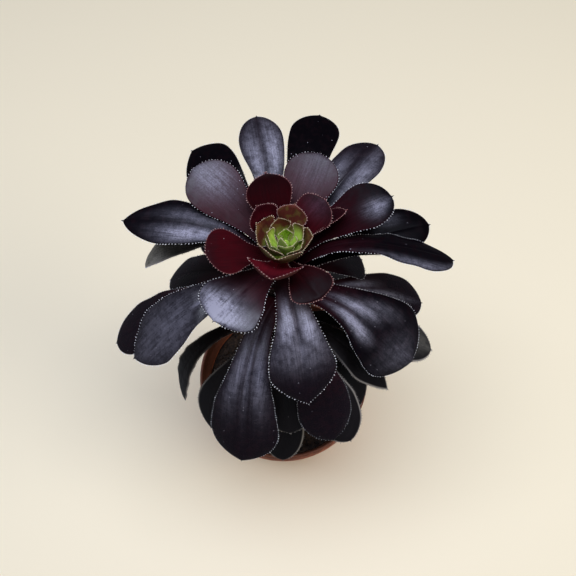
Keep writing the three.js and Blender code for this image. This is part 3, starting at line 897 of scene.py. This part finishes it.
# Its dark olive underside is partly the leaves' own colour and partly painted shade.
heart_skin = leaf_skin("green_leaf_cuticle", young="#a9c84c", blade_colour="#5c2a20", wax="#b9cf74",
                       rim="#bd8c78", young_rim="#c6bf8a", dust="#dfe3c0", shine=0.38, gloss=0.3,
                       rim_wide=0.2, underside="#34351c")
heart_hair = hair_skin("pink_leaf_hair", root="#a98a6c", tip="#dccda8")
for number, row in enumerate(HEART_LEAVES, 1):
    grow_leaf(f"heart_leaf_{number}", row, HEART_THICKNESS, heart_skin, heart_hair,
              rings=30, spread=17)


def closed_bud():
    """Three overlapping leaf tips still wrapped around each other, as one small ribbed egg."""
    sides, steps = 40, 24
    points = []
    base = stem_centre(STEM["top"] + GAP)
    for step in range(1, steps):
        rise = step / steps
        for side in range(sides):
            turn = 2 * math.pi * side / sides
            wrap = 1 + BUD["folds"] * math.cos(3 * (turn - BUD["twist"] * rise))
            radius = BUD["radius"] * math.sin(math.pi * rise ** BUD["fullness"]) * wrap
            points.append(base + (radius * math.cos(turn), radius * math.sin(turn), BUD["height"] * rise))
    faces = [list(range(sides)), list(range(len(points) - sides, len(points)))]
    faces += ring_faces(steps - 1, sides)
    made = mesh_object("closed_bud", points, faces, heart_skin)
    # It is all young skin, with no margin near.
    for fact, value in (("blush", 1), ("tone", 1), ("margin_mm", 9)):
        set_values(made, fact, np.full(len(points), value))
    return made


bud = closed_bud()
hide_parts("heart_bud")
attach(bud, "root")


# ---- The inner leaves ----
# Young leaves around the heart, burgundy with fine pinkish margins, thinner than the full-grown ones and
# still cupped upwards. The first is still half green.
INNER_THICKNESS = 1.8
HALF_GREEN = 1
INNER_LEAVES = [
    (182.2, 69, 10.4, 195, 48, 11, 0, 34, {"blush": 0.3}),
    (181, 133, 12.4, 194.5, 42, 12.5, 0, 36, {"blush": 0.9, "tone": 0.7}),
    (180.6, 40, 19, 193.5, 48, 15, 0, 22, {"blush": 0.8, "tone": 0.6, "wax": [(0.85, 0.1, 0.2, 0.6, 0.25)]}),
    (178.6, 105, 21, 197, 44, 16, 0, 20, {"blush": 0.9, "tone": 0.3}),
    (179, 259, 16.5, 190, 34, 21, 0, 55, {"blush": 0.9, "tone": 1.3}),
    (178, 195, 25.5, 190, 40, 18, 0, 14, {"blush": 1, "tone": 0.5}),
    (176, 304, 23, 181, 40, 16, 0, 5, {"blush": 0.6, "tone": 0.3}),
    (178, 25, 24, 190, 45, 12, -40, 20, {"tone": 0.8}),
]
inner_skin = leaf_skin("burgundy_leaf_cuticle", young="#4c0812", blade_colour="#2a060e", wax="#6a4c5c",
                       rim="#7e4a4a", young_rim="#7e4a4a", dust="#b79a9a", shine=0.4, gloss=0.08,
                       rim_wide=0.24, underside="#4a2a26")
inner_hair = hair_skin("pale_leaf_hair", root="#7c4a48", tip="#b8948c")
for number, row in enumerate(INNER_LEAVES, 1):
    skin = heart_skin if number == HALF_GREEN else inner_skin
    grow_leaf(f"inner_leaf_{number}", row, INNER_THICKNESS, skin, inner_hair)


# ---- The rosette ----
# Full-grown leaves, purple to black, glossy under a thin waxy bloom that turns the light lavender. The
# bloom's patches are partly a painted sheen. The upper ones are reddish towards the foot. A second tier
# of them spreads out just below the first.
ROSETTE_THICKNESS = 2.3
MIDDLE_THICKNESS = 2.2
ROSETTE_LEAVES = [
    (174, 24, 42, 188, 40, 18.5, 0, 26, {
        "blush": 0.75, "tone": 0.6, "lobes": 0.3, "hairs": 0.8, "wax": [(0.84, -0.25, 0.1, 0.35, 0.65)]}),
    (177, 67.5, 35, 193, 35, 19.5, 0, 10, {
        "blush": 0.95, "hairs": 0.7, "wax": [(0.85, -0.1, 0.25, 0.8, 0.2)]}),
    (176, 140.5, 40, 193, 40, 19.5, -14, 10, {
        "blush": 0.95, "hairs": 0.7, "wax": [(0.84, -0.25, 0.22, 0.65, 0.6)]}),
    (170.5, 168, 58, 180, 60, 18.5, 0, 5, {
        "blush": 0.2, "pointed": 0.5, "fullest": 0.68,
        "wax": [(0.5, -0.35, 0.22, 0.25, 0.35), (0.5, 0.5, 0.19, 0.35, 1.1)]}),
    (172.5, 230, 34.5, 179, 30, 24, 0, -8, {
        "blush": 0.6, "neck": 0.35, "wax": [(0.92, -0.1, 0.19, 0.75, 1.75)]}),
    (168, 281.5, 47, 150, 30, 24, 0, -15, {
        "blush": 0.3, "neck": 0.4, "pointed": 0.7, "lobes": 0.6, "groove": 1,
        "wax": [(0.38, -0.42, 0.15, 0.33, 1.1), (0.42, 0.5, 0.15, 0.35, 1), (0.57, 0, 0.14, 0.9, 0.42)]}),
    (170, 1, 62, 170.7, 60, 17.5, -22, -12, {
        "blush": 0.38, "tone": 0.7, "wax": [(0.75, -0.85, 0.22, 0.18, 0.4)]}),
    (172, 99.5, 62.5, 180, 30, 17, 0, 5, {
        "blush": 0.3, "groove": 1,
        "wax": [(0.62, -0.45, 0.25, 0.38, 0.85), (0.57, 0.45, 0.25, 0.35, 0.75)]}),
    (166, 77, 66.5, 177, 30, 19.5, 0, 0, {"blush": 0, "fullest": 0.84, "tone": 0.5}),
    (170, 52, 59.5, 180, 35, 17.5, 0, 5, {
        "blush": 0.2, "lobes": 0.35, "groove": 1,
        "wax": [(0.65, -0.5, 0.25, 0.38, 0.55), (0.62, 0.5, 0.14, 0.3, 0.4)]}),
    (162, 16, 57, 171.5, 35, 17.5, 10, 0, {
        "blush": 0.1, "tone": 0.45, "wax": [(0.72, 0.5, 0.07, 0.2, 0.25)]}),
    (163, 125, 64, 170, 45, 22, -24, 0, {"blush": 0.1, "tone": 0.6, "pointed": 0.5}),
]
MIDDLE_LEAVES = [
    # Its pale grey tip is a painted sheen.
    (160, 173, 53, 158, 45, 11, 0, 0, {"turn": -50, "hook": 15, "wax": [(1, 0, 0.32, 1.5, 1.4)]}),
    (154, 335, 57, 134, 35, 31, 18, -20, {
        "blush": 0.3, "fullest": 0.78, "lobes": 0.5, "groove": 1,
        "wax": [(0.42, -0.5, 0.13, 0.17, 1.6), (0.4, 0.15, 0.13, 0.2, 1), (0.55, 0.5, 0.15, 0.2, 0.25),
                (0.88, -0.2, 0.15, 0.6, 0.2)]}),
    (160, 205.5, 62.5, 144.5, 47, 22.5, 0, 0, {
        "blush": 0.25, "pointed": 0.6, "tone": 0.6,
        "wax": [(0.68, 0.1, 0.32, 0.9, 0.32), (0.34, 0.1, 0.14, 0.16, 0.9)]}),
    (152, 255, 62, 120, 30, 27, 0, -20, {
        "blush": 0.3, "turn": -8, "fullest": 0.82, "lobes": 0.4, "groove": 1, "hairs": 0.7,
        "wax": [(0.42, -0.5, 0.2, 0.3, 0.5), (0.4, -0.02, 0.22, 0.12, 0.5), (0.42, 0.5, 0.2, 0.3, 0.55)]}),
    (147, 1, 57.5, 136.5, 22, 19, 0, 0, {"wax": [(0.42, 0.3, 0.12, 0.2, 1), (0.65, -0.1, 0.2, 0.15, 0.5)]}),
    (146, 191.5, 70, 129.5, 45, 21, 0, 0, {}),
    (152, 166, 49, 136, 22, 18, 0, 0, {}),
    (156, 23, 34.5, 150, 40, 20, 0, 0, {}),
    (144, 292, 55, 118, 30, 22, 0, -20, {"hairs": 0.5}),
    (146, 60, 50, 146, 35, 18, 0, -5, {}),
    (140, 98, 54, 138, 35, 19, 0, -5, {}),
    (142, 135, 46, 142, 35, 18, 0, -5, {}),
]
dark_skin = leaf_skin("purple_leaf_cuticle", young="#330a13", blade_colour="#110810", wax="#93919e",
                      rim="#120a0e", young_rim="#3a1820", dust="#a9a3ab", shine=0.2, gloss=0.36)
# Darker, almost glossless copy of the purple cuticle: partly the leaves' near-black colour, partly painted
# shade.
black_and_shaded_skin = leaf_skin("black_leaf_cuticle", young="#330a13", blade_colour="#0b070c", wax="#94929f",
                       rim="#0d080b", young_rim="#3a1820", dust="#a9a3ab", shine=0.3, gloss=0.05)
# Its wide pale grey margin is a painted reflection of the table along the leaf's edge.
old_skin = leaf_skin("old_leaf_cuticle", young="#1c0d0b", blade_colour="#0d090b", wax="#8d897d",
                     rim="#9a948c", young_rim="#2b2321", dust="#8b8481", shine=0.38, gloss=0.5,
                     rim_wide=0.9)
dark_hair = hair_skin("white_leaf_hair", root="#3c343a", tip="#fbfafa")

# The leaves that aren't purple: nearly black ones, partly painted shade, and an old one on the left
# whose pale grey tip is a painted sheen.
ROSETTE_SKINS = {1: black_and_shaded_skin, 4: black_and_shaded_skin, 7: black_and_shaded_skin, 9: black_and_shaded_skin, 11: black_and_shaded_skin, 12: black_and_shaded_skin}
MIDDLE_SKINS = {1: old_skin, 2: black_and_shaded_skin}
for number, row in enumerate(ROSETTE_LEAVES, 1):
    skin = ROSETTE_SKINS.get(number, dark_skin)
    grow_leaf(f"rosette_leaf_{number}", row, ROSETTE_THICKNESS, skin, dark_hair)
for number, row in enumerate(MIDDLE_LEAVES, 1):
    skin = MIDDLE_SKINS.get(number, dark_skin)
    grow_leaf(f"middle_leaf_{number}", row, MIDDLE_THICKNESS, skin, dark_hair)


# ---- The old leaves ----
# The lowest leaves, black to brown and duller, with pale grey margins that are a painted reflection of
# the table. They arch down and hang over the pot.
OLD_THICKNESS = 2
LOWER_LEAVES = [
    (129.5, 348, 64, 123.5, 31, 19, 0, 0, {"wax": [(0.88, 0.2, 0.2, 0.6, 0.3)]}),
    (131, 327, 52.5, 117, 40, 15, 0, 0, {"fullest": 0.65, "pointed": 0.8}),
    (126, 300, 56, 112.5, 30, 20, 0, -10, {}),
    (136, 274, 48, 119, 30, 22, 0, -10, {}),
    (114, 270, 51, 92, 30, 18, 0, -10, {}),
    (128, 201, 52.5, 78, 40, 14, 0, 0, {"hook": 45}),
    (122, 230, 50, 95, 45, 24, 0, 0, {}),
    (118, 320, 45, 101, 35, 20, 0, 0, {}),
    (128, 118, 48, 112, 30, 20, 0, -15, {}),
    (130, 74, 48, 112, 30, 20, 0, -15, {}),
    (127, 36, 44, 112, 25, 18, 0, -10, {}),
]
old_hair = hair_skin("grey_leaf_hair", root="#3c3735", tip="#8f8a86")
for number, row in enumerate(LOWER_LEAVES, 1):
    grow_leaf(f"lower_leaf_{number}", row, OLD_THICKNESS, old_skin, old_hair)
